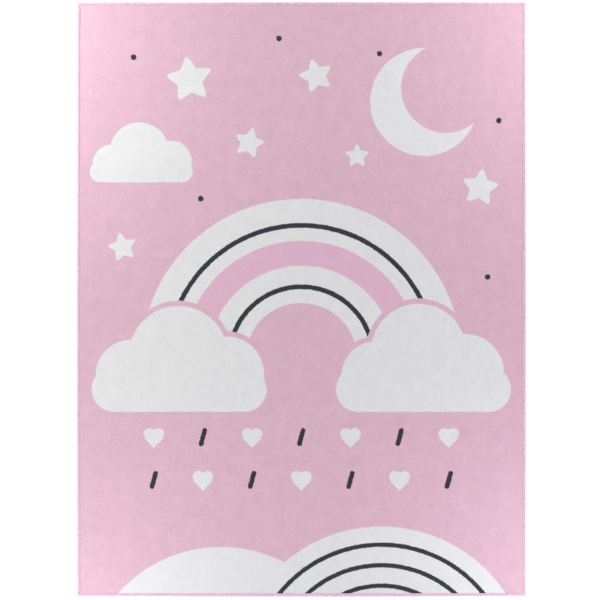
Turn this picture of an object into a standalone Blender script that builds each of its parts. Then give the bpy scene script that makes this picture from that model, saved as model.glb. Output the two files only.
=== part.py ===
"""Children's floor rug: a flat printed cloth with a rim of overlocked yarn wrapped round its edge.

Metres, +Z up. The rug lies on the XY plane with its middle at the origin: X runs across its
width, Y along its length.
"""

import math

import bmesh
import bpy
import numpy as np

# Driving dimensions
RUG_WIDTH = 1.210
RUG_LENGTH = 1.600
CORNER_RADIUS = 0.0065  # the yarn turns a corner on a small radius

CLOTH_THICKNESS = 0.0050  # short pile, weave and backing together
CLOTH_EDGE_ROUNDING = 0.0011
TONGUE_THICKNESS = 0.0024  # the cloth where the yarn pulls it flat

BEAD_DIAMETER = 0.0058  # the round roll of yarn that covers the cut edge
BINDING_WIDTH = 0.0105  # from the outer edge to the line of stitches
FLANGE_BOTTOM = 0.0004  # the stitches above and below the cloth lie lower than the roll
FLANGE_TOP = 0.0048
SLOT_BOTTOM = 0.0011
SLOT_INSET = 0.0022  # where the cloth ends inside the yarn
SEAM_GAP = 0.0003  # clearance between the two pieces

# Each side is a shallow arc, as cloth settles after cutting: its middle stands out by the bow.
SIDES = (
    # outward direction in degrees, half size across, half size along, bow
    {"heading": 0, "reach": RUG_WIDTH / 2, "half_run": RUG_LENGTH / 2, "bow": 0.0005},
    {"heading": 90, "reach": RUG_LENGTH / 2, "half_run": RUG_WIDTH / 2, "bow": 0.0000},
    {"heading": 180, "reach": RUG_WIDTH / 2, "half_run": RUG_LENGTH / 2, "bow": 0.0014},
    {"heading": 270, "reach": RUG_LENGTH / 2, "half_run": RUG_WIDTH / 2, "bow": 0.0008},
)
SIDE_STEPS = 14
CORNER_STEPS = 5
SHARPEST_CORNER = 0.0015  # of the field of the cloth, and of the yarn round it

CLOTH_COLOUR = (0.66, 0.42, 0.52)
YARN_COLOUR = (0.72, 0.44, 0.58)


def clear_scene():
    for obj in list(bpy.data.objects):
        bpy.data.objects.remove(obj)


def new_collection(name, hidden=False):
    collection = bpy.data.collections.new(name)
    collection.hide_render = hidden
    bpy.context.scene.collection.children.link(collection)
    return collection


def fabric(name, colour, roughness):
    material = bpy.data.materials.new(name)
    material.use_nodes = True
    shader = material.node_tree.nodes["Principled BSDF"]
    shader.inputs["Base Color"].default_value = (*colour, 1)
    shader.inputs["Roughness"].default_value = roughness
    shader.inputs["Metallic"].default_value = 0
    return material


def rug_outline(inset):
    """Points round the rug, this far inside its outer edge, counterclockwise from the +X side."""
    radius = max(CORNER_RADIUS - inset, SHARPEST_CORNER)
    points = []
    for side, next_side in zip(SIDES, SIDES[1:] + SIDES[:1]):
        heading = math.radians(side["heading"])
        outward = np.array((math.cos(heading), math.sin(heading)))
        along = np.array((-outward[1], outward[0]))
        previous = SIDES[SIDES.index(side) - 1]
        start = -(side["half_run"] - previous["bow"] - inset - radius)
        end = side["half_run"] - next_side["bow"] - inset - radius
        for run in np.linspace(start, end, SIDE_STEPS + 1):
            sag = side["bow"] * (run / (start if run < 0 else end)) ** 2
            points.append(outward * (side["reach"] - inset - sag) + along * run)
        corner = outward * (side["reach"] - side["bow"] - inset - radius) + along * end
        for step in range(1, CORNER_STEPS):
            turn = heading + math.pi / 2 * step / CORNER_STEPS
            points.append(corner + radius * np.array((math.cos(turn), math.sin(turn))))
    return points


def outline_curve(name, inset, dimensions):
    curve = bpy.data.curves.new(name, "CURVE")
    curve.dimensions = dimensions
    outline = rug_outline(inset)
    spline = curve.splines.new("POLY")
    spline.points.add(len(outline) - 1)
    for point, (x, y) in zip(spline.points, outline):
        point.co = (x, y, 0, 1)
    spline.use_cyclic_u = True
    return curve


def mesh_from_curve(name, collection, curve, height):
    """A closed mesh object made from the curve, laid at this height."""
    drawn = bpy.data.objects.new(name + "_curve", curve)
    drawn.location.z = height
    collection.objects.link(drawn)
    bpy.context.view_layer.update()
    graph = bpy.context.evaluated_depsgraph_get()
    mesh = bpy.data.meshes.new_from_object(drawn.evaluated_get(graph))
    shape = bmesh.new()
    shape.from_mesh(mesh)
    bmesh.ops.remove_doubles(shape, verts=shape.verts, dist=1e-5)
    bmesh.ops.recalc_face_normals(shape, faces=shape.faces)
    inside_caps = [
        edge for edge in shape.edges if all(abs(face.normal.z) > 0.9999 for face in edge.link_faces)
    ]
    bmesh.ops.dissolve_edges(shape, edges=inside_caps, use_verts=False)
    shape.to_mesh(mesh)
    shape.free()

    obj = bpy.data.objects.new(name, mesh)
    obj.matrix_world = drawn.matrix_world.copy()
    collection.objects.link(obj)
    bpy.data.objects.remove(drawn)
    return obj


def slab(name, collection, inset, bottom, top):
    """A flat slab of the rug's outline."""
    curve = outline_curve(name, inset, "2D")
    curve.fill_mode = "BOTH"
    curve.extrude = (top - bottom) / 2
    return mesh_from_curve(name, collection, curve, (bottom + top) / 2)


def roll(name, collection, diameter):
    """A round roll that runs along the whole outline and lies on the floor."""
    curve = outline_curve(name, diameter / 2, "3D")
    curve.bevel_depth = diameter / 2
    curve.bevel_resolution = 6
    return mesh_from_curve(name, collection, curve, diameter / 2)


def as_helper(obj):
    obj.hide_render = True
    obj.display_type = "WIRE"
    return obj


def add_boolean(obj, other, operation):
    modifier = obj.modifiers.new(other.name, "BOOLEAN")
    modifier.operation = operation
    modifier.solver = "EXACT"
    modifier.object = other


def add_rounding(obj, width, segments):
    """Round the rims of the slab's two flat faces."""
    bevel = obj.modifiers.new("rounding", "BEVEL")
    bevel.limit_method = "ANGLE"
    bevel.angle_limit = math.radians(60)
    bevel.width = width
    bevel.segments = segments
    bevel.use_clamp_overlap = False


def shade(obj, material):
    obj.data.materials.append(material)
    obj.data.shade_smooth()
    obj.data.set_sharp_from_angle(angle=math.radians(35))


def make_cloth(parts, helpers):
    """The printed cloth, thick in its field and pulled to a thin tongue under the yarn."""
    cloth = slab("rug_cloth", parts, BINDING_WIDTH + SEAM_GAP, 0, CLOTH_THICKNESS)
    add_rounding(cloth, CLOTH_EDGE_ROUNDING, segments=3)
    tongue_bottom = SLOT_BOTTOM + SEAM_GAP
    tongue = slab(
        "tongue", helpers, SLOT_INSET + SEAM_GAP, tongue_bottom, tongue_bottom + TONGUE_THICKNESS
    )
    add_boolean(cloth, as_helper(tongue), "UNION")
    shade(cloth, fabric("printed_cloth", CLOTH_COLOUR, 0.95))


def make_binding(parts, helpers):
    """The overlocked yarn: a round roll over the cut edge, with a flange of stitches on each face.

    A slot between the two flanges holds the cloth's tongue.
    """
    binding = roll("edge_binding", parts, BEAD_DIAMETER)
    flange = slab("flange", helpers, BEAD_DIAMETER / 2, FLANGE_BOTTOM, FLANGE_TOP)
    opening = slab("opening", helpers, BINDING_WIDTH, -0.01, 0.02)
    slot_top = SLOT_BOTTOM + TONGUE_THICKNESS + 2 * SEAM_GAP
    slot = slab("tongue_slot", helpers, SLOT_INSET, SLOT_BOTTOM, slot_top)
    add_boolean(binding, as_helper(flange), "UNION")
    add_boolean(binding, as_helper(opening), "DIFFERENCE")
    add_boolean(binding, as_helper(slot), "DIFFERENCE")
    shade(binding, fabric("overlock_yarn", YARN_COLOUR, 0.85))


def main():
    clear_scene()
    parts = new_collection("kids_rug")
    helpers = new_collection("kids_rug_helpers", hidden=True)
    make_cloth(parts, helpers)
    make_binding(parts, helpers)


main()
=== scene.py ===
import math

import bpy
import numpy as np
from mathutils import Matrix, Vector


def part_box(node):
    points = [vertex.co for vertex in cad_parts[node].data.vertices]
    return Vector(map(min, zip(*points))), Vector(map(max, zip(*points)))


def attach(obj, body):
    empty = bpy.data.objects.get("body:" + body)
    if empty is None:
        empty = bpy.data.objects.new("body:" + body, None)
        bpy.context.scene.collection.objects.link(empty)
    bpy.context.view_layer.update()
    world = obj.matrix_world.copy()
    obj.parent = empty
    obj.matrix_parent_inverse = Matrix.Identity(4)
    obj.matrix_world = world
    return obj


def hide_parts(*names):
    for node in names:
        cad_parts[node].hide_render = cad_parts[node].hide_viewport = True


# Looks of a children's floor rug: a flat printed cloth with a rim of overlocked yarn. Metres, +Z up.
# The rug lies on the floor at z = 0 with its middle at the origin and the top of its print towards +Y.
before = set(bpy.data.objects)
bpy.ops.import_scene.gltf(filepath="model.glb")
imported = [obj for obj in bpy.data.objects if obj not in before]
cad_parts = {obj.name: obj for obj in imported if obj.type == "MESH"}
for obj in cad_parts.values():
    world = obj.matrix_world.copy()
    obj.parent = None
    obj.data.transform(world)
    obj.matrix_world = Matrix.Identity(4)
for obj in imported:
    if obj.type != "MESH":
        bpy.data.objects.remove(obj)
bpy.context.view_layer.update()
cloth_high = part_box("rug_cloth")[1]
edge_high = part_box("edge_binding")[1]


# Camera, light and floor. The camera looks straight down on the rug. A soft grey-white room and five
# square softboxes, low beyond its corners and its top side, light it. The floor is plain studio white.
CAMERA_PLACE = (-0.0035, -0.0019, 3.2)
VIEW_WIDTH = 1.611  # what the camera takes in at the height of the rug's face
SENSOR_WIDTH = 36  # in millimetres, as is the lens
SOFTBOX_SIZE = 0.5
SOFTBOXES = (
    # name, place, power in watts, colour
    ("back_left", (-1.48, 1.00, 0.55), 26.7, (1.00, 1.00, 0.96)),
    ("back_right", (1.29, 1.01, 0.55), 13.6, (1.00, 1.00, 1.01)),
    ("front_left", (-0.90, -1.13, 0.65), 8.2, (1.00, 1.00, 1.00)),
    ("front_right", (0.90, -0.92, 0.55), 5.1, (1.00, 1.00, 1.02)),
    ("back_middle", (-0.20, 1.30, 0.25), 0.50, (1.00, 1.00, 1.00)),
)
ROOM_LIGHT = 0.384  # strength with which it lights the rug
ROOM_SEEN = 1  # strength with which the camera sees it
ROOM_COLOUR = (1.00, 1.00, 1.01)
FLOOR_SIZE = 120
FLOOR_FINISH = {
    "Base Color": (0.90, 0.90, 0.90, 1),
    "Roughness": 0.9,
    "Specular IOR Level": 0.1,
    "Emission Color": (1, 1, 1, 1),
    "Emission Strength": 0.8,  # lit from within, so that it is plain white
}

bpy.ops.object.camera_add(location=CAMERA_PLACE, rotation=(0, 0, 0))
camera = bpy.context.object
camera.data.sensor_width = SENSOR_WIDTH
camera.data.lens = SENSOR_WIDTH * (CAMERA_PLACE[2] - cloth_high.z) / VIEW_WIDTH
bpy.context.scene.camera = camera

for name, place, power, colour in SOFTBOXES:
    bpy.ops.object.light_add(type="AREA", location=place)
    softbox = bpy.context.object
    softbox.name = "softbox_" + name
    softbox.data.shape = "SQUARE"
    softbox.data.size = SOFTBOX_SIZE
    softbox.data.energy = power
    softbox.data.color = colour
    softbox.rotation_euler = (-Vector(place)).to_track_quat("-Z", "Y").to_euler()
    softbox.visible_camera = False

# The room lights the rug softly, and is white paper where it is seen directly.
room = bpy.data.worlds.new("studio_room")
room.use_nodes = True
room_background = room.node_tree.nodes["Background"]
room_background.inputs["Color"].default_value = (*ROOM_COLOUR, 1)
light_path = room.node_tree.nodes.new("ShaderNodeLightPath")
room_strength = room.node_tree.nodes.new("ShaderNodeMapRange")
room_strength.inputs["To Min"].default_value = ROOM_LIGHT
room_strength.inputs["To Max"].default_value = ROOM_SEEN
room.node_tree.links.new(light_path.outputs["Is Camera Ray"], room_strength.inputs["Value"])
room.node_tree.links.new(room_strength.outputs["Result"], room_background.inputs["Strength"])
bpy.context.scene.world = room
bpy.context.scene.view_settings.view_transform = "Standard"

bpy.ops.object.select_all(action="DESELECT")
bpy.ops.mesh.primitive_plane_add(size=FLOOR_SIZE)
floor = bpy.context.object
floor.name = "studio_floor"
floor_paint = bpy.data.materials.new("white_floor")
floor_paint.use_nodes = True
floor_shader = floor_paint.node_tree.nodes["Principled BSDF"]
for name, value in FLOOR_FINISH.items():
    floor_shader.inputs[name].default_value = value
floor.data.materials.append(floor_paint)


# Printed cloth. One flat piece of short polyester pile on its own woven backing, cut to size and printed
# with dye. Under the yarn of the rim it is pulled down to a thin tongue.
HALF_WIDTH = edge_high.x  # of the whole rug, to the outside of the yarn
HALF_LENGTH = edge_high.y
SIDE_BOWS = {0: 0.0005, 90: 0.0000, 180: 0.0014, 270: 0.0008}  # by the way each side faces, in degrees
TONGUE_INSET = HALF_WIDTH - cloth_high.x
TONGUE_CORNER = 0.004
CLOTH_PROFILE = (
    # inset from the rug's outer edge, height of the underside, height of the face
    (TONGUE_INSET, 0.0019, 0.0033),
    (0.0032, 0.0014, 0.0038),
    (0.0060, 0.0014, 0.0038),
    (0.0090, 0.0014, 0.0039),
    (0.0098, 0.0011, 0.0043),
    (0.0105, 0.0006, 0.0047),
    (0.0114, 0.0002, 0.00488),
    (0.0128, 0.0000, 0.00496),
    (0.0145, 0.0000, 0.00499),
    (0.0180, 0.0000, cloth_high.z),
    (0.0240, 0.0000, cloth_high.z),
)
CLOTH_CELLS = (150, 198)
CLOTH_UNEVENNESS = (
    # height, length of the wave, way it runs in degrees, where it starts in turns
    (0.00016, 0.31, 78, 0.15),
    (0.00012, 0.23, 12, 0.60),
    (0.00009, 0.17, 124, 0.35),
    (0.00007, 0.11, 51, 0.85),
)
UNEVEN_FROM = 0.02  # inset at which the waves start
UNEVEN_FULL = 0.09  # inset from which they have their full height
MERGE_DISTANCE = 1e-6


def points_of(obj):
    """The object's vertices as rows of x, y, z."""
    places = np.empty(len(obj.data.vertices) * 3, np.float32)
    obj.data.vertices.foreach_get("co", places)
    return places.reshape(-1, 3).astype(float)


def move_points(obj, places):
    """Put the object's vertices at these rows of x, y, z."""
    obj.data.vertices.foreach_set("co", places.astype(np.float32).ravel())
    obj.data.update()


def write_map(obj, name, places):
    """Put the corners of the object's faces at these rows of the map."""
    obj.data.uv_layers[name].uv.foreach_set("vector", places.astype(np.float32).ravel())


def apply_modifiers(obj):
    bpy.context.view_layer.objects.active = obj
    for modifier in list(obj.modifiers):
        bpy.ops.object.modifier_apply(modifier=modifier.name)


def close_and_turn_out(obj):
    """Merge the vertices that meet and point every face outwards."""
    bpy.ops.object.select_all(action="DESELECT")
    obj.select_set(True)
    bpy.context.view_layer.objects.active = obj
    bpy.ops.object.mode_set(mode="EDIT")
    bpy.ops.mesh.select_all(action="SELECT")
    bpy.ops.mesh.remove_doubles(threshold=MERGE_DISTANCE)
    bpy.ops.mesh.normals_make_consistent(inside=False)
    bpy.ops.object.mode_set(mode="OBJECT")


def new_grid(name, cells):
    """A flat grid from -1 to 1 each way, with this many cells across and along."""
    bpy.ops.object.select_all(action="DESELECT")
    bpy.ops.mesh.primitive_grid_add(x_subdivisions=cells[0], y_subdivisions=cells[1], size=2)
    grid = bpy.context.object
    grid.name = name
    grid.data.name = name
    return grid


def across_cloth(unit, cells, half_size):
    """Where a grid line lies on the cloth: close to its neighbours at the rim, evenly spaced inside."""
    lines_in = (1 - np.abs(unit)) * cells / 2
    rim_insets = [inset for inset, _, _ in CLOTH_PROFILE]
    line_numbers = [*range(len(rim_insets)), cells / 2]
    inset = np.interp(lines_in, line_numbers, [*rim_insets, half_size])
    return np.sign(unit) * (half_size - inset)


def bowed(places):
    """The same places on a rug whose sides are shallow arcs, which fall back towards the corners."""
    x, y = places[:, 0], places[:, 1]
    side_bow = np.where(x > 0, SIDE_BOWS[0], SIDE_BOWS[180])
    end_bow = np.where(y > 0, SIDE_BOWS[90], SIDE_BOWS[270])
    sagged = places.copy()
    sagged[:, 0] = x * (1 - side_bow / HALF_WIDTH * (y / HALF_LENGTH) ** 2)
    sagged[:, 1] = y * (1 - end_bow / HALF_LENGTH * (x / HALF_WIDTH) ** 2)
    return sagged


def unevenness(x, y):
    """The height of the cloth's slow waves at these places."""
    height = np.zeros_like(x)
    for rise, length, way, start in CLOTH_UNEVENNESS:
        along = x * math.cos(math.radians(way)) + y * math.sin(math.radians(way))
        height += rise * np.sin(2 * math.pi * (along / length + start))
    return height


cloth = new_grid("rug_cloth_printed", CLOTH_CELLS)
grid_places = points_of(cloth)
cloth_places = grid_places.copy()
cloth_places[:, 0] = across_cloth(grid_places[:, 0], CLOTH_CELLS[0], HALF_WIDTH)
cloth_places[:, 1] = across_cloth(grid_places[:, 1], CLOTH_CELLS[1], HALF_LENGTH)
corner_centre = np.array((HALF_WIDTH, HALF_LENGTH)) - TONGUE_INSET - TONGUE_CORNER
beyond = np.maximum(np.abs(cloth_places[:, :2]) - corner_centre, 0)
reach = np.linalg.norm(beyond, axis=1)
shorter = np.where(reach > TONGUE_CORNER, TONGUE_CORNER / np.maximum(reach, TONGUE_CORNER), 1)
cloth_places[:, :2] -= np.sign(cloth_places[:, :2]) * beyond * (1 - shorter)[:, None]
move_points(cloth, cloth_places)
thickness = cloth.modifiers.new("thickness", "SOLIDIFY")
thickness.thickness = cloth_high.z
thickness.offset = 0
apply_modifiers(cloth)

cloth_places = points_of(cloth)
is_face = cloth_places[:, 2] > 0
inset = np.minimum(
    HALF_WIDTH - np.abs(cloth_places[:, 0]), HALF_LENGTH - np.abs(cloth_places[:, 1])
)
profile_insets, under_heights, face_heights = zip(*CLOTH_PROFILE)
waves = unevenness(cloth_places[:, 0], cloth_places[:, 1])
waves *= np.clip((inset - UNEVEN_FROM) / (UNEVEN_FULL - UNEVEN_FROM), 0, 1)
cloth_places[:, 2] = np.where(
    is_face,
    np.interp(inset, profile_insets, face_heights) + waves,
    np.interp(inset, profile_insets, under_heights),
)
move_points(cloth, bowed(cloth_places))
cloth.data.shade_smooth()

# The colours are worked out on a map of the cloth laid flat: the face fills most of it, the underside is
# squeezed into a strip below, and the thin cut edge folds out just beyond the face.
FACE_MAP = (0.003, 0.121, 0.997, 0.997)  # left, bottom, right, top
UNDER_MAP = (0.003, 0.003, 0.997, 0.112)
CUT_EDGE_MAP = 0.002  # width of the cut edge on the map
LEVEL_NORMAL = 0.5  # a face whose normal has more height than this belongs to the face or underside

corner_vertex = np.empty(len(cloth.data.loops), np.int32)
cloth.data.loops.foreach_get("vertex_index", corner_vertex)
face_normals = np.empty(len(cloth.data.polygons) * 3, np.float32)
cloth.data.polygons.foreach_get("normal", face_normals)
face_corners = np.empty(len(cloth.data.polygons), np.int32)
cloth.data.polygons.foreach_get("loop_total", face_corners)
face_normals = face_normals.reshape(-1, 3)
is_under = face_normals[:, 2] < -LEVEL_NORMAL
facing = np.repeat(face_normals, face_corners, axis=0)
under_corner = np.repeat(is_under, face_corners)
flat_x = 0.5 + cloth_places[corner_vertex, 0] / (2 * (HALF_WIDTH - TONGUE_INSET))
flat_y = 0.5 + cloth_places[corner_vertex, 1] / (2 * (HALF_LENGTH - TONGUE_INSET))
left, bottom, right, top = np.where(under_corner[:, None], UNDER_MAP, FACE_MAP).T
flat_map = np.stack([left + (right - left) * flat_x, bottom + (top - bottom) * flat_y], axis=1)
on_cut_edge = (np.abs(facing[:, 2]) < LEVEL_NORMAL) & ~is_face[corner_vertex]
flat_map[on_cut_edge] += CUT_EDGE_MAP * facing[on_cut_edge, :2]
cloth.data.uv_layers[0].name = "OFBake"
write_map(cloth, "OFBake", flat_map)
cloth.data.polygons.foreach_set("material_index", is_under.astype(np.int32))


class Signal:
    """A socket of a material, used as a number or a vector. Arithmetic on it adds Math nodes."""

    def __init__(self, socket):
        self.socket = socket

    def node(self, kind, settings, inputs, output=0):
        """An output of a new node of this kind, with these settings and its inputs' values or links."""
        tree = self.socket.id_data
        added = tree.nodes.new("ShaderNode" + kind)
        for name, setting in settings.items():
            setattr(added, name, setting)
        for key, value in inputs.items():
            if isinstance(value, Signal):
                tree.links.new(value.socket, added.inputs[key])
            else:
                added.inputs[key].default_value = value
        return Signal(added.outputs[output])

    def feed(self, shader, name):
        """Link this to the shader's input."""
        self.socket.id_data.links.new(self.socket, shader.inputs[name])

    def maths(self, operation, *values, clamp=False):
        """A Math node's answer on these numbers, one of which may be this signal."""
        settings = {"operation": operation, "use_clamp": clamp}
        return self.node("Math", settings, dict(enumerate(values)))

    def vector(self, operation, *values):
        """A Vector Math node's answer on these vectors: a number for a distance or a length."""
        output = 1 if operation in ("DISTANCE", "LENGTH") else 0
        return self.node("VectorMath", {"operation": operation}, dict(enumerate(values)), output)

    def scaled(self, factor):
        """This colour or vector, times a number."""
        return self.node("VectorMath", {"operation": "SCALE"}, {"Vector": self, "Scale": factor})

    def parts(self):
        """x and y of a vector."""
        return [self.node("SeparateXYZ", {}, {0: self}, output) for output in (0, 1)]

    def joined(self, y, z=0.0):
        """The vector of this number, y and z."""
        return self.node("CombineXYZ", {}, {0: self, 1: y, 2: z})

    def mixed(self, first, second):
        """A colour between the first, where this is 0, and the second, where it is 1."""
        colours = {key: c if isinstance(c, Signal) else (*c, 1) for key, c in ((6, first), (7, second))}
        return self.node("Mix", {"data_type": "RGBA"}, {0: self, **colours}, output=2)

    def noise(self, size, detail=2.0, roughness=0.5):
        """Smooth noise from 0 to 1 whose blotches are about this size on a vector of places."""
        inputs = {"Vector": self, "Scale": 1 / size, "Detail": detail, "Roughness": roughness}
        return self.node("TexNoise", {}, inputs)

    def tufts(self, irregularity):
        """Scattered points, one to each unit square: the way to the nearest, and a number of its own."""
        inputs = {"Vector": self, "Scale": 1.0, "Randomness": irregularity}
        reach = self.node("TexVoronoi", {"voronoi_dimensions": "2D"}, inputs)
        return reach, Signal(reach.socket.node.outputs["Color"]).parts()[0]

    def __add__(self, other):
        return self.maths("ADD", self, other)

    __radd__ = __add__

    def __sub__(self, other):
        return self.maths("SUBTRACT", self, other)

    def __rsub__(self, other):
        return self.maths("SUBTRACT", other, self)

    def __mul__(self, other):
        return self.maths("MULTIPLY", self, other)

    __rmul__ = __mul__

    def __truediv__(self, other):
        return self.maths("DIVIDE", self, other)

    def __abs__(self):
        return self.maths("ABSOLUTE", self)


FABRIC_GLOSS = 0.2
SHEEN_ROUGHNESS = 0.5


def new_fabric(name, sheen):
    """A material for cloth or yarn, its shader, and the place on the object as a signal."""
    material = bpy.data.materials.new(name)
    material.use_nodes = True
    shader = material.node_tree.nodes["Principled BSDF"]
    shader.inputs["Specular IOR Level"].default_value = FABRIC_GLOSS
    shader.inputs["Sheen Weight"].default_value = sheen
    shader.inputs["Sheen Roughness"].default_value = SHEEN_ROUGHNESS
    coordinates = material.node_tree.nodes.new("ShaderNodeTexCoord")
    return material, shader, Signal(coordinates.outputs["Object"])


# The print, in dye on the pile: a rainbow between two clouds over pink, with a small cloud, a moon, stars,
# dots and rain, and along the bottom two hills, one with charcoal furrows. What is white is left undyed. A
# shape is a signal of how far a place lies outside it, in metres.
PINK = (0.672, 0.433, 0.531)
WHITE = (0.716, 0.714, 0.728)
ORCHID = (0.698, 0.432, 0.572)
CHARCOAL = (0.030, 0.036, 0.043)
PRINT_BLUR = 0.0012  # over which the dye fades out
PRINT_RAGGEDNESS = 0.0010  # by which single tufts take or miss the dye
RAINBOW_CENTRE = (0.0, -0.16)
RAINBOW_FOOT = -0.24  # height on the rug at which its legs end, behind the clouds
CLOUD_MARGIN = 0.014  # of pink between the rainbow and the clouds
RAINBOW_WHITE = (0.150, 0.430)  # inner and outer radius
RAINBOW_ORCHID = (0.250, 0.317)
RAINBOW_LINES = ((0.352, 0.365), (0.187, 0.200))
CLOUD_LOBES = (
    # centre, radius
    ((-0.455, -0.205), 0.097),
    ((-0.330, -0.150), 0.132),
    ((-0.200, -0.200), 0.100),
    ((0.200, -0.205), 0.092),
    ((0.315, -0.140), 0.128),
    ((0.440, -0.197), 0.104),
    ((-0.510, 0.365), 0.050),
    ((-0.435, 0.395), 0.080),
    ((-0.350, 0.370), 0.056),
)
CLOUD_BASES = (
    # centre, half size
    ((-0.328, -0.242), (0.235, 0.060)),
    ((0.328, -0.242), (0.235, 0.060)),
    ((-0.430, 0.342), (0.138, 0.028)),
)
HILLS = (((-0.215, -1.035), 0.370), ((0.215, -1.010), 0.400))
FURROWS = ((0.345, 0.357), (0.290, 0.302), (0.235, 0.247))  # radii of lines along the second hill's top
MOON = ((0.330, 0.530), 0.145)
MOON_BITE = ((0.388, 0.567), 0.120)
STARS = (
    # centre, reach of the tips, turn in degrees
    ((-0.300, 0.590), 0.070, 8),
    ((-0.140, 0.420), 0.046, -14),
    ((0.040, 0.600), 0.052, 16),
    ((0.480, 0.300), 0.056, -8),
    ((-0.480, 0.140), 0.044, 12),
    ((0.150, 0.385), 0.036, 0),
)
STAR_WAIST = 0.50  # of the tips' reach, where the arms meet
STAR_BLUNT = 0.9  # of the tips' reach, where they are cut off
STAR_ROUNDING = 0.2  # of the tips' reach
RAIN_PITCH = 0.132
RAIN_ROWS = (-0.370, -0.485)
RAIN_HALF_WIDTH = 0.43
DASH_LENGTH = 0.050
DASH_WIDTH = 0.013
DASH_LEAN = math.radians(15)
HEART_SIZE = 0.030
HEART_LOBE = (0.42, 0.30)  # centre of its right half, in heart sizes
HEART_LOBE_RADIUS = 0.50
HEART_POINT = (0.12, 0.84)  # how far below the middle the point's square stands, and its reach
ROUND_END = 0.99  # a bar's corners are rounded by this share of its half width
DOT_RADIUS = 0.0075
DOTS = ((-0.450, 0.650), (-0.060, 0.700), (0.210, 0.660), (0.530, 0.480), (-0.270, 0.270), (0.500, 0.060))


def disc(place, centre, radius):
    """A round shape."""
    return place.vector("DISTANCE", place, (*centre, 0)) - radius


def rounded_box(place, centre, half_size, rounding):
    """A box whose corners have this radius."""
    out = place.vector("ABSOLUTE", place.vector("SUBTRACT", place, (*centre, 0)))
    out = place.vector("SUBTRACT", out, (half_size[0] - rounding, half_size[1] - rounding, 0))
    out = place.vector("MAXIMUM", out, (0, 0, 0))
    return place.vector("LENGTH", out) - rounding


def star(place, centre, tip_reach, turn):
    """A five-pointed star with blunt tips, one of them up before it is turned."""
    across, up = place.vector("SUBTRACT", place, (*centre, 0)).parts()
    distance = place.vector("DISTANCE", place, (*centre, 0))
    angle = across.maths("ARCTAN2", across, up) + math.radians(turn)
    from_tip = angle.maths("PINGPONG", angle, math.pi / 5)
    waist = STAR_WAIST * tip_reach
    tip = np.array((tip_reach, 0.0))
    notch = waist * np.array((math.cos(math.pi / 5), math.sin(math.pi / 5)))
    outward = np.array((notch[1] - tip[1], tip[0] - notch[0]))
    outward /= np.linalg.norm(outward)
    tilt = math.atan2(outward[1], outward[0])
    beyond_arm = distance * from_tip.maths("COSINE", from_tip - tilt) - outward[0] * tip_reach
    beyond_tip = distance - STAR_BLUNT * tip_reach
    return beyond_arm.maths("SMOOTH_MAX", beyond_arm, beyond_tip, STAR_ROUNDING * tip_reach)


def together(*shapes):
    """One shape of them all."""
    joined = shapes[0]
    for shape in shapes[1:]:
        joined = joined.maths("MINIMUM", joined, shape)
    return joined


pile, pile_shader, cloth_place = new_fabric("printed_pile", sheen=0.12)
flat_place = cloth_place.vector("MULTIPLY", cloth_place, (1, 1, 0))
x, y = flat_place.parts()

# The tufts stand in rows across the rug, a little out of line.
ROW_PITCH = 0.00226
TUFT_PITCH = 0.00195
TUFT_IRREGULARITY = 0.55
ROW_WANDER = 0.0011
ROW_WAVE = 0.045  # length over which the rows wander
ROW_SHARE = 0.35  # of the pile's relief, from the rows; the rest is from the single tufts
FIBRE_SIZE = 0.0004
PILE_HEIGHT = 0.0005  # from the valleys between tufts to their tops
row_wave = flat_place.noise(ROW_WAVE, detail=1.0) - 0.5
row = (y + row_wave * ROW_WANDER * 2) / ROW_PITCH
column = (x + row_wave * ROW_WANDER) / TUFT_PITCH
from_tuft, tuft_chance = column.joined(row).tufts(TUFT_IRREGULARITY)
across_row = abs(row.maths("FRACT", row) - 0.5) * 2
row_ridge = 1 - across_row * across_row
tuft_dome = row_ridge * ROW_SHARE + (1 - from_tuft * from_tuft * 2) * (1 - ROW_SHARE)
fibre = flat_place.noise(FIBRE_SIZE, detail=3.0, roughness=0.7)

# Dye edges are ragged by a tuft here and there.
edge_shift = (tuft_chance - 0.5) * (2 * PRINT_RAGGEDNESS)


def printed(shape):
    """1 where the shape is printed and 0 outside it."""
    return shape.maths("SUBTRACT", 0.5, (shape + edge_shift) / PRINT_BLUR, clamp=True)


moon = disc(flat_place, *MOON)
moon = moon.maths("MAXIMUM", moon, disc(flat_place, *MOON_BITE) * -1)
clouds = together(
    *[rounded_box(flat_place, *base, rounding=base[1][1] * ROUND_END) for base in CLOUD_BASES],
    *[disc(flat_place, *lobe) for lobe in CLOUD_LOBES],
)
hills = together(*[disc(flat_place, *hill) for hill in HILLS])
stars = together(*[star(flat_place, *values) for values in STARS])
dots = together(*[disc(flat_place, dot, DOT_RADIUS) for dot in DOTS])

# The rainbow's bands are arches: half rings that stand on straight legs, behind the clouds.
arch_x = x - RAINBOW_CENTRE[0]
arch_y = y.maths("MAXIMUM", y - RAINBOW_CENTRE[1], 0.0)
arch_radius = y.vector("LENGTH", arch_x.joined(arch_y))
behind_clouds = y.maths("MAXIMUM", RAINBOW_FOOT - y, CLOUD_MARGIN - clouds)


def arch(radii):
    """A band of the rainbow, between these two radii."""
    inner, outer = radii
    band = abs(arch_radius - (inner + outer) / 2) - (outer - inner) / 2
    return band.maths("MAXIMUM", band, behind_clouds)


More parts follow.
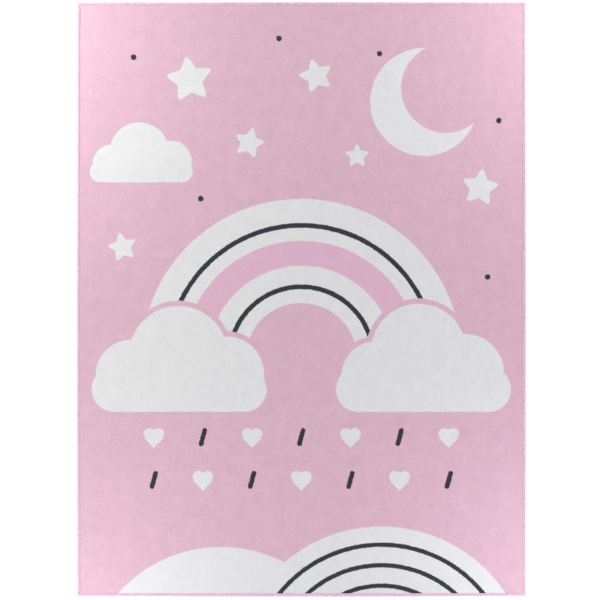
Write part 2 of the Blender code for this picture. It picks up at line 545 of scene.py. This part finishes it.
# Rain falls in two rows: leaning charcoal dashes, and a white heart between each two.
row_gap = RAIN_ROWS[0] - RAIN_ROWS[1]
in_second_row = y.maths("LESS_THAN", y, sum(RAIN_ROWS) / 2)
rain_y = y - RAIN_ROWS[0] + in_second_row * row_gap
rain_x = x + in_second_row * RAIN_PITCH
dash_x = rain_x.maths("WRAP", rain_x, RAIN_PITCH, -RAIN_PITCH)
heart_x = abs(rain_x.maths("WRAP", rain_x + RAIN_PITCH, RAIN_PITCH, -RAIN_PITCH))
lean_x = dash_x * math.cos(DASH_LEAN) - rain_y * math.sin(DASH_LEAN)
lean_y = dash_x * math.sin(DASH_LEAN) + rain_y * math.cos(DASH_LEAN)
dash_half_size = (DASH_WIDTH / 2, DASH_LENGTH / 2)
dash_rounding = DASH_WIDTH / 2 * ROUND_END
dashes = rounded_box(lean_x.joined(lean_y), (0, 0), dash_half_size, dash_rounding)
heart_place = heart_x.joined(rain_y)
lobe_centre = [HEART_SIZE * share for share in HEART_LOBE]
heart_lobe = disc(heart_place, lobe_centre, HEART_SIZE * HEART_LOBE_RADIUS)
point_drop, point_reach = [HEART_SIZE * share for share in HEART_POINT]
heart_point = (heart_x + abs(rain_y + point_drop) - point_reach) / math.sqrt(2)
hearts = together(heart_lobe, heart_point)
outside_rain = abs(x) - RAIN_HALF_WIDTH
hearts = hearts.maths("MAXIMUM", hearts, outside_rain)
dashes = dashes.maths("MAXIMUM", dashes, outside_rain)

white_print = printed(together(arch(RAINBOW_WHITE), clouds, hills, moon, stars, hearts))
orchid_print = printed(arch(RAINBOW_ORCHID))
rainbow_lines = [arch(line) for line in RAINBOW_LINES]
furrow_radius = disc(flat_place, HILLS[1][0], 0.0)
furrows = [abs(furrow_radius - (low + high) / 2) - (high - low) / 2 for low, high in FURROWS]
charcoal_print = printed(together(*rainbow_lines, *furrows, dots, dashes))
dye = white_print.mixed(PINK, WHITE)
dye = orchid_print.mixed(dye, ORCHID)
dye = charcoal_print.mixed(dye, CHARCOAL)

# Even dye still varies, by these shares from its palest to its darkest: single tufts, fibres, a heather of
# small blotches, larger soft ones, weft bands across and faint streaks along; painted shade darkens the
# valleys between tufts.
TUFT_SHADE = 0.08
# painted shade in the valleys between the tufts
VALLEY_PAINTED_SHADE = 0.16
MEAN_DOME = 0.66  # of the tufts' relief over the whole cloth
FIBRE_SHADE = 0.12
HEATHER_SHADE = 0.16
HEATHER_SIZE = 0.0092
HEATHER_STRETCH = (0.85, 1.15, 0)  # makes its blotches wider than they are long
CLOUDING_SHADE = 0.14
CLOUDING_SIZE = 0.035
BAND_SHADE = 0.045
STREAK_SHADE = 0.030
STRIPE_SIZE = 0.36  # of bands and streaks, on places stretched by the next two lines
BAND_STRETCH = (0.6, 12, 0)
STREAK_STRETCH = (12, 0.6, 0)
UNDYED_EVENNESS = 0.42  # share of all this that white cloth lacks
heather_place = flat_place.vector("MULTIPLY", flat_place, HEATHER_STRETCH)
heather = heather_place.noise(HEATHER_SIZE, detail=2.0, roughness=0.6)
clouding = flat_place.noise(CLOUDING_SIZE, detail=1.0)
band = flat_place.vector("MULTIPLY", flat_place, BAND_STRETCH).noise(STRIPE_SIZE, detail=3.0)
streak = flat_place.vector("MULTIPLY", flat_place, STREAK_STRETCH).noise(STRIPE_SIZE, detail=3.0)
dye_and_valley_shade = (
    (tuft_chance - 0.5) * TUFT_SHADE
    + (tuft_dome - MEAN_DOME) * VALLEY_PAINTED_SHADE
    + (fibre - 0.5) * FIBRE_SHADE
    + (heather - 0.5) * HEATHER_SHADE
    + (clouding - 0.5) * CLOUDING_SHADE
    + (band - 0.5) * BAND_SHADE
    + (streak - 0.5) * STREAK_SHADE
)
shade = 1 + dye_and_valley_shade * (1 - white_print * UNDYED_EVENNESS)
dye.scaled(shade).feed(pile_shader, "Base Color")

# The pile is matt, a little less so on the tufts' tops, and stands up in single tufts and fibres.
PILE_ROUGHNESS = (0.97, 0.91)  # in the valleys and on the tops
TUFT_RISE = (0.8, 0.4)  # least height of a tuft, and how much more it may have, in pile heights
FIBRE_RISE = 0.6  # in pile heights
PILE_BUMP = 0.6
valley_roughness, top_roughness = PILE_ROUGHNESS
(valley_roughness - tuft_dome * (valley_roughness - top_roughness)).feed(pile_shader, "Roughness")
least_rise, more_rise = TUFT_RISE
pile_height = tuft_dome * (least_rise + tuft_chance * more_rise) + fibre * FIBRE_RISE
bump_inputs = {"Strength": PILE_BUMP, "Distance": PILE_HEIGHT, "Height": pile_height}
pile_height.node("Bump", {}, bump_inputs).feed(pile_shader, "Normal")
cloth.data.materials.append(pile)

# The underside is the plain woven backing: pale threads over and under one another.
BACKING_DARK = (0.52, 0.50, 0.49)
BACKING_PALE = (0.645, 0.625, 0.605)
BACKING_PITCH = 0.0030
BACKING_ROUGHNESS = 0.9
BACKING_RELIEF = 0.0004
BACKING_BLOTCH = 0.02  # size of the uneven patches
CROSSING_SHARE = 0.3  # of the way from dark to pale, by the threads' crossings: painted shade where they dip
BLOTCH_SHARE = 0.7  # and by the patches
backing, backing_shader, backing_place = new_fabric("woven_backing", sheen=0.0)
backing_shader.inputs["Roughness"].default_value = BACKING_ROUGHNESS
thread_x, thread_y = (part * (math.pi / BACKING_PITCH) for part in backing_place.parts())
crossing = thread_x.maths("SINE", thread_x) * thread_y.maths("SINE", thread_y)
backing_blotch = backing_place.noise(BACKING_BLOTCH, detail=4.0)
# Painted shade darkens the backing where its threads dip, and it is blotched at random.
backing_blotch_and_shade = 0.5 + crossing * CROSSING_SHARE + (backing_blotch - 0.5) * BLOTCH_SHARE
backing_blotch_and_shade.mixed(BACKING_DARK, BACKING_PALE).feed(backing_shader, "Base Color")
backing_bump = {"Distance": BACKING_RELIEF, "Height": crossing}
crossing.node("Bump", {}, backing_bump).feed(backing_shader, "Normal")
cloth.data.materials.append(backing)

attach(cloth, "root")
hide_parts("rug_cloth")


# Overlocked edge. One run of pink yarn is sewn round the cut edge on all four sides: each stitch comes up
# through the cloth, wraps over the edge and goes under the back. A bed of yarn lies below the stitches.
EDGE_CORNER = 0.0065
INNER_CORNER = 0.0015
CORNER_FILL = 0.95  # of the corner's radius, which the stitches round it fill
CORNER_LEAST = 0.8  # of the corner's radius, the shortest stitch beside it
BED_SECTION = (
    # inset from the rug's outer edge and height, round the section from the inner end of its upper half
    (0.0102, 0.00455),
    (0.0032, 0.00465),
    (0.0018, 0.00430),
    (0.0010, 0.00290),
    (0.0018, 0.00155),
    (0.0032, 0.00095),
    (0.0102, 0.00085),
    (0.0102, 0.00112),
    (0.0022, 0.00112),
    (0.0022, 0.00408),
    (0.0102, 0.00408),
)
SIDE_STEPS = 24
CORNER_STEPS = 6
STITCH_PITCH = 0.0030
STITCH_PATH = (
    # run along the edge in stitches, inset from the rug's outer edge, height
    (0.00, 0.0104, 0.00425),
    (0.02, 0.0099, 0.00484),
    (0.04, 0.0092, 0.00495),
    (0.08, 0.0072, 0.00504),
    (0.16, 0.0049, 0.00508),
    (0.24, 0.0029, 0.00511),
    (0.34, 0.0012, 0.00445),
    (0.50, 0.00062, 0.00290),
    (0.66, 0.0012, 0.00130),
    (0.76, 0.0030, 0.00068),
    (0.92, 0.0070, 0.00075),
    (1.00, 0.0101, 0.00130),
)
STITCH_SIDES = 6
STITCH_HALF_WIDTH = 0.00142
STITCH_HALF_HEIGHT = 0.0006
STITCH_ENDS = (0.0, 0.80, 0.96, 1.0)  # share of the full thickness, from the tip of the yarn inwards
ROLL_HEIGHT = 0.0029  # of the middle of the roll
EDGE_HEADINGS = (0, 90, 180, 270)
SIDE_NAMES = {0: "right", 90: "top", 180: "left", 270: "bottom"}
STITCH_SEED = 41
RUN_JITTER = 0.00022
WIDTH_JITTER = 0.035
HEIGHT_JITTER = 0.035


def side_facing(heading):
    """Of the side that faces this way: its reach, outward and onward ways, bow, and where its straight
    run starts and ends, counterclockwise."""
    outward = np.round((math.cos(math.radians(heading)), math.sin(math.radians(heading))))
    onward = np.array((-outward[1], outward[0]))
    reach = abs(outward @ (HALF_WIDTH, HALF_LENGTH))
    half_run = abs(onward @ (HALF_WIDTH, HALF_LENGTH))
    start = -(half_run - SIDE_BOWS[(heading - 90) % 360] - EDGE_CORNER)
    end = half_run - SIDE_BOWS[(heading + 90) % 360] - EDGE_CORNER
    return reach, outward, onward, SIDE_BOWS[heading], start, end


def edge_outline(inset):
    """Points round the rug, this far inside its outer edge, counterclockwise."""
    corner = max(EDGE_CORNER - inset, INNER_CORNER)
    moved_in = inset + corner - EDGE_CORNER  # of the corner's centre
    outline = []
    for heading in EDGE_HEADINGS:
        reach, outward, onward, bow, start, end = side_facing(heading)
        for run in np.linspace(start + moved_in, end - moved_in, SIDE_STEPS + 1):
            sag = bow * (run / (start if run < 0 else end)) ** 2
            outline.append(outward * (reach - inset - sag) + onward * run)
        centre = outward * (reach - bow - inset - corner) + onward * (end - moved_in)
        for step in range(1, CORNER_STEPS):
            turn = math.pi / 2 * step / CORNER_STEPS
            outline.append(centre + corner * (math.cos(turn) * outward + math.sin(turn) * onward))
    return np.array(outline)


def onto_edge(heading, run, inset):
    """Places on the rug at these runs from the side's start, on round the next corner, and insets.

    Near a corner a stitch ends where it meets those of the next side.
    """
    reach, outward, onward, bow, start, end = side_facing(heading)
    along = np.minimum(start + run, end)
    turn = np.maximum(run - (end - start), 0) / EDGE_CORNER
    to_corner = EDGE_CORNER + np.minimum(end - along, along - start)
    beside_corner = np.maximum(to_corner, CORNER_LEAST * EDGE_CORNER)
    most = np.where(turn > 0, CORNER_FILL * EDGE_CORNER, beside_corner)
    inset = np.minimum(inset, most)
    sag = bow * (along / np.where(along < 0, start, end)) ** 2
    out = reach - inset - sag - (EDGE_CORNER - inset) * (1 - np.cos(turn))
    on = along + (EDGE_CORNER - inset) * np.sin(turn)
    return out[:, None] * outward + on[:, None] * onward


def read_map(obj, name):
    """The corners of the object's faces on the map, as rows of two."""
    places = np.empty(len(obj.data.loops) * 2, np.float32)
    obj.data.uv_layers[name].uv.foreach_get("vector", places)
    return places.reshape(-1, 2).astype(float)


def strand(name, sides, path, half_width, half_height):
    """A closed strand of yarn along the path: a grid rolled into a tube with pointed ends.

    The path's rows are the run along the edge in stitches, the inset and the height. The map named yarn
    goes round the strand and along it.
    """
    path = np.array(path) * (STITCH_PITCH, 1, 1)
    tube = new_grid(name, (sides, len(path) - 1))
    tube.data.uv_layers[0].name = "yarn"
    tube.data.uv_layers.new(name="OFBake")
    grid = points_of(tube)
    turn = grid[:, 0] * math.pi
    ring = np.round((grid[:, 1] + 1) / 2 * (len(path) - 1)).astype(int)
    onward = np.gradient(path[:, 1:], axis=0)
    onward /= np.linalg.norm(onward, axis=1)[:, None]
    rings_in = np.minimum(ring, len(path) - 1 - ring)
    share = np.array(STITCH_ENDS)[np.minimum(rings_in, len(STITCH_ENDS) - 1)]
    places = path[ring]
    places[:, 0] += half_width * share * np.cos(turn)
    places[:, 1] -= half_height * share * np.sin(turn) * onward[ring, 1]
    places[:, 2] += half_height * share * np.sin(turn) * onward[ring, 0]
    move_points(tube, places)
    close_and_turn_out(tube)
    return tube


bed = new_grid("edge_yarn_bed", (4 * (SIDE_STEPS + CORNER_STEPS), len(BED_SECTION)))
bed_grid = points_of(bed)
bed_step = np.round((bed_grid[:, 0] + 1) * 2 * (SIDE_STEPS + CORNER_STEPS)).astype(int)
bed_row = np.round((bed_grid[:, 1] + 1) / 2 * len(BED_SECTION)).astype(int) % len(BED_SECTION)
outlines = np.array([edge_outline(inset) for inset, _ in BED_SECTION])
bed_heights = np.array([height for _, height in BED_SECTION])
bed_grid[:, :2] = outlines[bed_row, bed_step % outlines.shape[1]]
bed_grid[:, 2] = bed_heights[bed_row]
move_points(bed, bed_grid)
bed.data.uv_layers[0].name = "OFBake"
close_and_turn_out(bed)
bed.data.shade_smooth()

stitch = strand("one_stitch", STITCH_SIDES, STITCH_PATH, STITCH_HALF_WIDTH, STITCH_HALF_HEIGHT)

# The yarn: soft pink polyester, twisted from two plies. Each stitch takes the light a little differently.
YARN = (0.860, 0.556, 0.735)
YARN_ROLL_HIGHLIGHT = (0.938, 0.790, 0.925)  # painted highlight on the roll, the stitch's outermost part
YARN_GROOVE_SHADE = (0.70, 0.40, 0.52)  # painted shade between the plies
BED_SHADE_DARK = (0.63, 0.36, 0.468)  # of the yarn that lies below the stitches, painted darker than them as shade
BED_SHADE_PALE = (0.77, 0.44, 0.572)
ROLL_MIDDLE = 0.635  # of the way along a stitch, at the outermost place
ROLL_HIGHLIGHT_REACH = 0.195  # to either side of that it carries the painted highlight
ROLL_HIGHLIGHT_FADE = 0.045
PLY_TURNS = 7  # in one stitch
PLY_SHADE = 0.3  # how far the painted shade between the plies darkens the colour
STITCH_SHADE = 0.10  # from the palest stitch to the darkest
BLOTCH_SHADE = 0.10
BLOTCH_SIZE = 0.009
FUZZ_SHADE = 0.12
FUZZ_SIZE = 0.0006
FUZZ_RISE = 0.4  # of the plies' relief
YARN_RELIEF = 0.00025
YARN_ROUGHNESS = (0.80, 0.95)


def new_yarn(name, shaded_below):
    """Yarn that is twisted along each stitch's own map, or plain and in painted shade where it lies below
    them.
    """
    material, shader, place = new_fabric(name, sheen=0.10)
    fuzz = place.noise(FUZZ_SIZE, detail=3.0)
    if shaded_below:
        # The bed's darker colour is painted shade below the stitches; the fuzz varies it.
        colour = fuzz.mixed(BED_SHADE_DARK, BED_SHADE_PALE)
        height = fuzz
    else:
        blotch = place.noise(BLOTCH_SIZE, detail=2.0)
        around, along = place.node("UVMap", {"uv_map": "yarn"}, {}).parts()
        chance = place.node("Attribute", {"attribute_name": "stitch_shade"}, {}, output=2)
        ply = abs(around.maths("SINE", (around + along * PLY_TURNS) * (2 * math.pi)))
        # The yarn is painted paler round the roll's outermost place, as a highlight.
        from_middle = abs(along - ROLL_MIDDLE)
        faded = from_middle / ROLL_HIGHLIGHT_FADE
        roll_highlight = faded.maths("SUBTRACT", 1 + ROLL_HIGHLIGHT_REACH / ROLL_HIGHLIGHT_FADE, faded, clamp=True)
        shade = (
            1
            + (chance - 0.5) * STITCH_SHADE
            + (blotch - 0.5) * BLOTCH_SHADE
            + (fuzz - 0.5) * FUZZ_SHADE
        )
        # Between the plies the colour is darkened as painted shade.
        ply_unshaded = (1 - PLY_SHADE) + ply * PLY_SHADE
        colour = ply_unshaded.mixed(YARN_GROOVE_SHADE, roll_highlight.mixed(YARN, YARN_ROLL_HIGHLIGHT)).scaled(shade)
        height = ply + fuzz * FUZZ_RISE
    colour.feed(shader, "Base Color")
    least_rough, most_rough = YARN_ROUGHNESS
    (least_rough + fuzz * (most_rough - least_rough)).feed(shader, "Roughness")
    height.node("Bump", {}, {"Distance": YARN_RELIEF, "Height": height}).feed(shader, "Normal")
    return material


bed.data.materials.append(new_yarn("yarn_bed", shaded_below=True))
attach(bed, "root")
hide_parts("edge_binding")

stitch_yarn = new_yarn("overlock_yarn", shaded_below=False)
stitch_points = len(stitch.data.vertices)
stitch_corners = len(stitch.data.loops)
BAKE_MARGIN = 0.05  # of a stitch's cell on the map for baking
chance = np.random.default_rng(STITCH_SEED)
for heading in EDGE_HEADINGS:
    *_, start, end = side_facing(heading)
    whole_run = end - start + EDGE_CORNER * math.pi / 2
    count = round(whole_run / STITCH_PITCH)
    stitches = stitch.copy()
    stitches.data = stitch.data.copy()
    stitches.name = "edge_stitches_" + SIDE_NAMES[heading]
    stitches.data.name = stitches.name
    bpy.context.collection.objects.link(stitches)
    repeat = stitches.modifiers.new("repeat", "ARRAY")
    repeat.count = count
    repeat.use_relative_offset = False
    repeat.use_constant_offset = True
    repeat.constant_offset_displace = (whole_run / count, 0, 0)
    apply_modifiers(stitches)
    columns = math.ceil(math.sqrt(count))
    rows = math.ceil(count / columns)
    copy_number = np.arange(len(stitches.data.loops)) // stitch_corners
    cell = np.stack([copy_number % columns, copy_number // columns], axis=1)
    in_cell = BAKE_MARGIN + read_map(stitches, "OFBake") * (1 - 2 * BAKE_MARGIN)
    write_map(stitches, "OFBake", (cell + in_cell) / (columns, rows))

    places = points_of(stitches)
    number = np.arange(len(places)) // stitch_points
    run = places[:, 0] + chance.uniform(-RUN_JITTER, RUN_JITTER, count)[number]
    inset = places[:, 1] * (1 + chance.uniform(-WIDTH_JITTER, WIDTH_JITTER, count)[number])
    swell = 1 + chance.uniform(-HEIGHT_JITTER, HEIGHT_JITTER, count)[number]
    places[:, :2] = onto_edge(heading, run, inset)
    places[:, 2] = np.maximum(ROLL_HEIGHT + (places[:, 2] - ROLL_HEIGHT) * swell, 0)
    move_points(stitches, places)
    stitches.data.shade_smooth()
    shade_of = stitches.data.attributes.new("stitch_shade", "FLOAT", "POINT")
    shade_of.data.foreach_set("value", chance.uniform(0, 1, count)[number].astype(np.float32))
    stitches.data.materials.append(stitch_yarn)
    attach(stitches, "root")
    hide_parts("edge_binding")
bpy.data.objects.remove(stitch)
